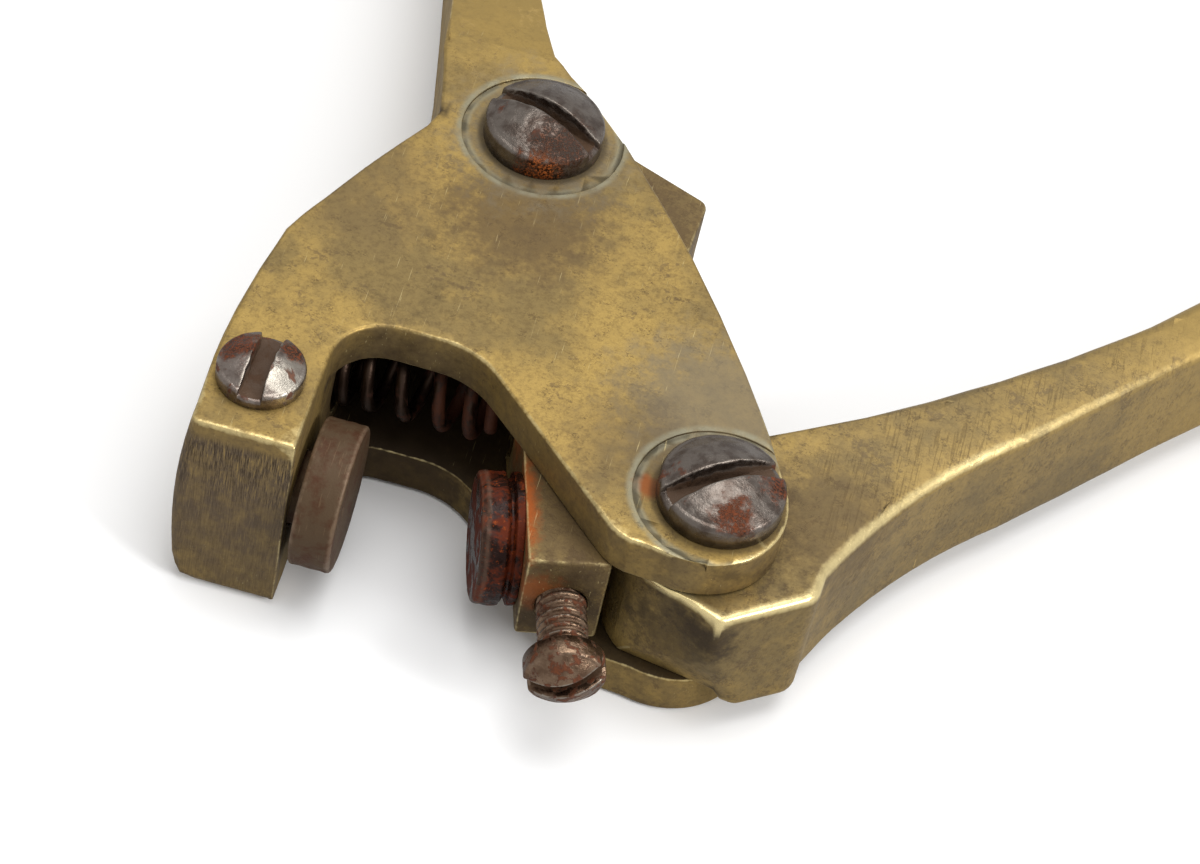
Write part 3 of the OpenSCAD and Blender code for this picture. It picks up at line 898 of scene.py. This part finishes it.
def rusted_die(name):
    """Rusted die: orange-red rust over dark steel, glossy where it is rubbed dark."""
    material, wire, shader, point = new_material(name)
    edge = kept(wire, "edge_mm")
    patch = wire.noise(point, 0.55, 4.0, 0.65, 0.5)
    colour = wire.mix(wire.step(patch, 0.42, 0.56), (0.090, 0.014, 0.003, 1), (0.016, 0.006, 0.004, 1))
    fine = wire.noise(point, 2.2, 4.0, 0.7)
    colour = wire.mix(wire.step(fine, 0.56, 0.72), colour, (0.24, 0.044, 0.005, 1))
    worn = wire.group(EDGE_WEAR, {"Distance": edge, "Width": 0.35, "Vector": point})["Mask"]
    colour = wire.mix(wire.math("MULTIPLY", worn, 0.4), colour, (0.15, 0.09, 0.06, 1))
    roughness = wire.step(patch, 0.40, 0.6, 0.7, 0.2)
    metallic = wire.step(patch, 0.46, 0.62, 0.0, 0.2)
    finish_surface(wire, shader, colour, roughness, metallic, fine, 0.8, 0.00009)
    shader.inputs["Specular IOR Level"].default_value = 0.15
    return material


def rusted_wire(name):
    """Spring wire: dark steel with rust, more of it towards the swing jaw, all of it darkened further as
    painted shade.
    """
    material, wire, shader, point = new_material(name)
    across = wire.node("SeparateXYZ", {0: point}).outputs[0]
    amount = wire.step(across, -4.0, 9.0, 0.35, 0.95)
    rust = wire.group(RUST, {"Vector": point, "Size": 1.6, "Amount": amount})
    colour = wire.mix(rust["Mask"], (0.075, 0.045, 0.030, 1), rust["Color"])
    # Darkens the whole wire a third of the way to black: painted shade of the slot the spring sits in.
    colour = wire.mix(0.35, colour, (0.01, 0.005, 0.003, 1))
    roughness = wire.between(rust["Mask"], 0.34, 0.7)
    finish_surface(wire, shader, colour, roughness, wire.between(rust["Mask"], 0.85, 0.2),
                   rust["Height"], 0.6)
    return material


def white_floor(name):
    """Plain white table with the faintest unevenness, which throws back less light than it shows."""
    material, wire, shader, point = new_material(name)
    cloud = wire.noise(point, 0.01, 2.0)
    white = wire.mix(cloud, (0.93, 0.93, 0.93, 1), (0.95, 0.95, 0.95, 1))
    seen = wire.node("LightPath").outputs["Is Camera Ray"]
    wire.tree.links.new(wire.mix(seen, (0.5, 0.5, 0.5, 1), white), shader.inputs["Base Color"])
    shader.inputs["Roughness"].default_value = 0.8
    return material


# ---------------------------------------------------------------- the pieces

# Places on the closed swing jaw, turned to where it stands when open
jaw_places = np.array([[3.2, -1.0, 5.0], [3.2, 9.0, 4.5], [4.6, -6.4, 1.6], [6.8, -6.4, -1.0],
                       [9.0, 0.0, 5.0]])
die_rust, spring_rust, shank_rust, front_dirt_and_shade, block_dirt = moved(JAW_OPEN, jaw_places)
set_low, set_high = box_mm("fixed_die_screw")
set_x, set_y = (set_low[:2] + set_high[:2]) / 2
lever_x, lever_y = LEVER_PIVOT[:2]
jaw_x, jaw_y = JAW_PIVOT[:2]

frame_brass = old_brass("frame_brass", [
    ((jaw_x - 7, jaw_y + 24, HEAD_TOP - 3), 24.0, GOLD, 0.75, 0.0),
    ((jaw_x - 12, jaw_y - 11, HEAD_TOP), 9.0, BROWN, 0.35, 0.4),
    ((jaw_x + 1, jaw_y - 10, HEAD_TOP), 9.0, BROWN, 0.75, 0.5),
    ((jaw_x, jaw_y, HEAD_TOP), 9.6, GREY_FILM, 0.8, 0.5),
    ((lever_x - 2, lever_y + 9, HEAD_TOP), 10.0, GREY_FILM, 0.75, 0.5),
    ((lever_x - 8, lever_y + 3, HEAD_TOP), 7.0, BROWN, 0.35, 0.4),
    ((lever_x - 5.6, lever_y - 0.6, HEAD_TOP), 1.5, ORANGE_RUST, 0.8, 0.8),
    # The next three darken the slot between the cheeks, round the lever's tongue and towards the back
    # cheek: painted shade.
    ((lever_x - 6, lever_y - 2, 0), 7.5, DIRT_AND_SHADE, 0.6, 0.6),
    ((0, 12, -1), 10.5, DIRT_AND_SHADE, 0.9, 0.7),
    ((2, 10, -8), 9.5, DIRT_AND_SHADE, 0.8, 0.6),
    ((set_x, set_y, HEAD_TOP), 4.6, BROWN, 0.35, 0.3),
], filed_front=(-3.0, -3.7), seats=[(jaw_x, jaw_y, HEAD_TOP), (lever_x, lever_y, HEAD_TOP)],
    slot_half=5.4, wear=0.42, specks=0.44, walls=0.5, rubbed=0.6)
lever_brass = old_brass("lever_brass", [
    ((lever_x - 1, lever_y - 9, 1), 6.0, DIRT_AND_SHADE, 0.65, 0.7),
    ((lever_x + 3, lever_y - 9, 2), 2.2, DIRT_AND_SHADE, 0.85, 0.7, (0.94, -0.10, -0.33)),
    ((lever_x + 7, lever_y - 9, -2), 1.5, DIRT_AND_SHADE, 0.85, 0.6, (0.74, 0.0, -0.67)),
    ((lever_x + 24, lever_y + 20, 5), 34.0, GREY_FILM, 0.25, 0.1),
    ((lever_x + 9, lever_y + 4, 5), 8.0, BROWN, 0.5, 0.4),
    ((lever_x, lever_y, 4), 9.0, DIRT_AND_SHADE, 0.55, 0.6),
    ((lever_x + 45, lever_y + 45, 4), 26.0, GOLD, 0.6, 0.0),
], wear=0.55, rubbed=1.0, ragged=0.35, specks=0.5, walls=0.1, scratch_turn=-0.9, scratch_amount=0.75,
    scratch_colour=BROWN)
jaw_brass = old_brass("swing_jaw_brass", [
    (tuple(block_dirt), 12.0, BROWN, 0.75, 0.5),
    # Darkening on the block's end face round the screw: dirt and painted shade.
    (tuple(front_dirt_and_shade), 5.5, DIRT_AND_SHADE, 0.8, 0.6),
    (tuple(shank_rust), 2.6, ORANGE_RUST, 0.8, 0.6),
    (tuple(die_rust), 1.7, VIVID_RUST, 0.95, 0.9, tuple(JAW_OPEN[:3, 1])),
    (tuple(spring_rust), 5.0, VIVID_RUST, 0.95, 0.9),
    ((jaw_x + 10, jaw_y - 1, 3), 9.0, BROWN, 0.6, 0.5),
], wear=0.4, specks=0.6, walls=0.35)

pivot_steel = screw_steel("pivot_screw_steel", 2.6, 0.40, [
    ((lever_x + 1.4, lever_y - 3.6, HEAD_TOP + 2.5), 2.0, DEEP_RUST),
    ((lever_x + 4.2, lever_y + 0.6, HEAD_TOP + 2.5), 1.6, DEEP_RUST),
    # Dark patch on the lower half of the jaw screw's dome: painted shade.
    ((jaw_x + 2.0, jaw_y - 3.2, HEAD_TOP + 2.2), 3.6, DOME_SHADE),
    ((jaw_x + 1.0, jaw_y - 5.2, HEAD_TOP + 0.6), 2.2, ORANGE_RUST),
])
set_steel = screw_steel("set_screw_steel", 1.7, 0.5, [
    ((set_x - 2.2, set_y + 1.0, HEAD_TOP + 2), 2.2, DEEP_RUST),
    ((set_x + 1.8, set_y + 2.0, HEAD_TOP + 2), 1.5, DEEP_RUST),
], [((set_x + 2.0, set_y - 1.2, HEAD_TOP + 1.8), 2.4)], tone=(0.24, 0.20, 0.175, 1), shine=0.35)
thread_steel = screw_steel("die_screw_steel", 0.8, 0.58, tone=(0.22, 0.145, 0.095, 1), shine=0.4)

casting("frame_worn", "frame", frame_rounding, frame_rubbing, frame_shape, frame_brass, "frame")
casting("swing_jaw_worn", "swing_jaw", swing_jaw_rounding, swing_jaw_rubbing, swing_jaw_shape,
        jaw_brass, "swing_jaw")
casting("lever_worn", "lever", lever_rounding, lever_rubbing, lever_shape, lever_brass, "lever")



def upright_at(x, y, slot_turn):
    """Place of an upright screw, its slot turned by slot_turn degrees from x."""
    a = np.radians(slot_turn)
    return frame_at((x, y, 0), (0, 0, 1), (np.cos(a), np.sin(a), 0))


def closed_box(node):
    """Lowest and highest corner of a node of the swing jaw when the jaw is closed."""
    points = moved(np.linalg.inv(JAW_OPEN), points_of(frame["nodes"][node].data))
    return points.min(0), points.max(0)


screw("jaw_pivot_screw", upright_at(jaw_x, jaw_y, -21), pivot_steel, "frame", slot_width=1.4,
      slot_share=0.4, ragged=0.05, pitch=1.0, depth=0.15, bare=0.3, seed=3)
screw("lever_pivot_screw", upright_at(lever_x, lever_y, 35), pivot_steel, "frame", slot_width=1.5,
      slot_share=0.4, ragged=0.07, pitch=1.0, depth=0.15, bare=0.3, seed=8)
screw("fixed_die_screw", upright_at(set_x, set_y, 89), set_steel, "frame", slot_width=1.7,
      slot_share=0.36, ragged=0.12, pitch=0.7, depth=0.2, bare=0.3, seed=15)
DIE_SCREW_TURN = np.radians(21)
closed_low, closed_high = closed_box("moving_die_screw")
moving_screw_at = JAW_OPEN @ frame_at(((closed_low[0] + closed_high[0]) / 2, 0, 0), (0, -1, 0),
                                      (np.cos(DIE_SCREW_TURN), 0, np.sin(DIE_SCREW_TURN)))
screw("moving_die_screw", moving_screw_at, thread_steel, "swing_jaw", slot_width=1.35,
      slot_share=0.3, ragged=0.03, pitch=0.74, depth=0.3, bare=5.6, seed=21)

# Both dies: thickness of the head, radius of the shank and height of the flat along it
DIE_HEAD = 3.4
SHANK_RADIUS = 2.98
SHANK_FLAT = 1.5

fixed_low, fixed_high = box_mm("fixed_die")
fixed_r = (fixed_high[1] - fixed_low[1]) / 2
fixed_length = fixed_high[0] - fixed_low[0]
die("fixed_die", frame_at((fixed_high[0], 0, 0), (-1, 0, 0), (0, 0, 1)),
    corners=[(0, 0), (fixed_r, 0), (fixed_r, DIE_HEAD), (SHANK_RADIUS, DIE_HEAD),
             (SHANK_RADIUS, fixed_length), (0, fixed_length)],
    radii=[0.35, 0.3, 0.1, 0.3], flat=(DIE_HEAD + 0.8, SHANK_FLAT),
    material=browned_die("browned_die_steel"), body="frame", seed=31, pits=0.04)

moving_low, moving_high = closed_box("moving_die")
moving_r = (moving_high[1] - moving_low[1]) / 2
moving_length = moving_high[0] - moving_low[0]
groove_r = moving_r - 0.6
collar_r = moving_r - 0.05
die("moving_die", JAW_OPEN @ frame_at((moving_low[0], 0, 0), (1, 0, 0), (0, -1, 0)),
    corners=[(0, 0), (moving_r - 0.25, 0), (moving_r, 0.5), (moving_r, 2.1), (groove_r, 2.35),
             (groove_r, 2.6), (collar_r, 2.8), (collar_r, DIE_HEAD), (SHANK_RADIUS, DIE_HEAD),
             (SHANK_RADIUS, moving_length), (0, moving_length)],
    radii=[0.2, 0.2, 0.2, 0.08, 0.08, 0.08, 0.1, 0.05, 0.3], flat=(DIE_HEAD + 0.1, SHANK_FLAT),
    material=rusted_die("rusted_die_steel"), body="swing_jaw", seed=43, pits=0.09)

spring(rusted_wire("rusted_spring_wire"))


# ---------------------------------------------------------------- table, light and camera

FLOOR_SIZE = 3.0
floor_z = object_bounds()[0][2]
steps = np.linspace(-FLOOR_SIZE / 2, FLOOR_SIZE / 2, 5)
floor_x, floor_y = np.meshgrid(steps, steps)
floor_mesh = bpy.data.meshes.new("table")
floor_mesh.from_pydata(np.stack([floor_x, floor_y, floor_x * 0 + floor_z], -1).reshape(-1, 3), [],
                       grid_faces(5, 5).tolist())
floor_mesh.materials.append(white_floor("table_white"))
floor = bpy.data.objects.new("table", floor_mesh)
bpy.context.scene.collection.objects.link(floor)

AIM = Vector((17.09, 13.9, 0)) * MM


def softbox(name, place, size, power, colour=(1, 1, 1)):
    """A square soft light that faces the point the camera aims at."""
    light = bpy.data.lights.new(name, "AREA")
    light.size = size
    light.energy = power
    light.color = colour
    lamp = bpy.data.objects.new(name, light)
    lamp.location = place
    lamp.rotation_euler = (Vector(place) - AIM).to_track_quat("Z", "Y").to_euler()
    bpy.context.scene.collection.objects.link(lamp)


softbox("overhead", (0.08, 0.1, 0.75), 0.55, 3.8)
softbox("right_side", (0.66, -0.22, 0.43), 0.26, 3.5)

world = bpy.data.worlds.new("studio")
world.use_nodes = True
world.node_tree.nodes["Background"].inputs["Color"].default_value = (1, 1, 1, 1)
world.node_tree.nodes["Background"].inputs["Strength"].default_value = 0.66
bpy.context.scene.world = world

CAMERA_AT = Vector((26.88, -190.92, 229.54)) * MM
CAMERA_ROLL = 13.2
camera_data = bpy.data.cameras.new("camera")
camera_data.sensor_width = 36
camera_data.lens = 114
camera_data.clip_start = 0.01
camera = bpy.data.objects.new("camera", camera_data)
level = (AIM - CAMERA_AT).to_track_quat("-Z", "Y").to_matrix().to_4x4()
roll = Matrix.Rotation(np.radians(CAMERA_ROLL), 4, "Z")
camera.matrix_world = Matrix.Translation(CAMERA_AT) @ level @ roll
bpy.context.scene.collection.objects.link(camera)
bpy.context.scene.camera = camera
bpy.context.scene.view_settings.view_transform = "Standard"
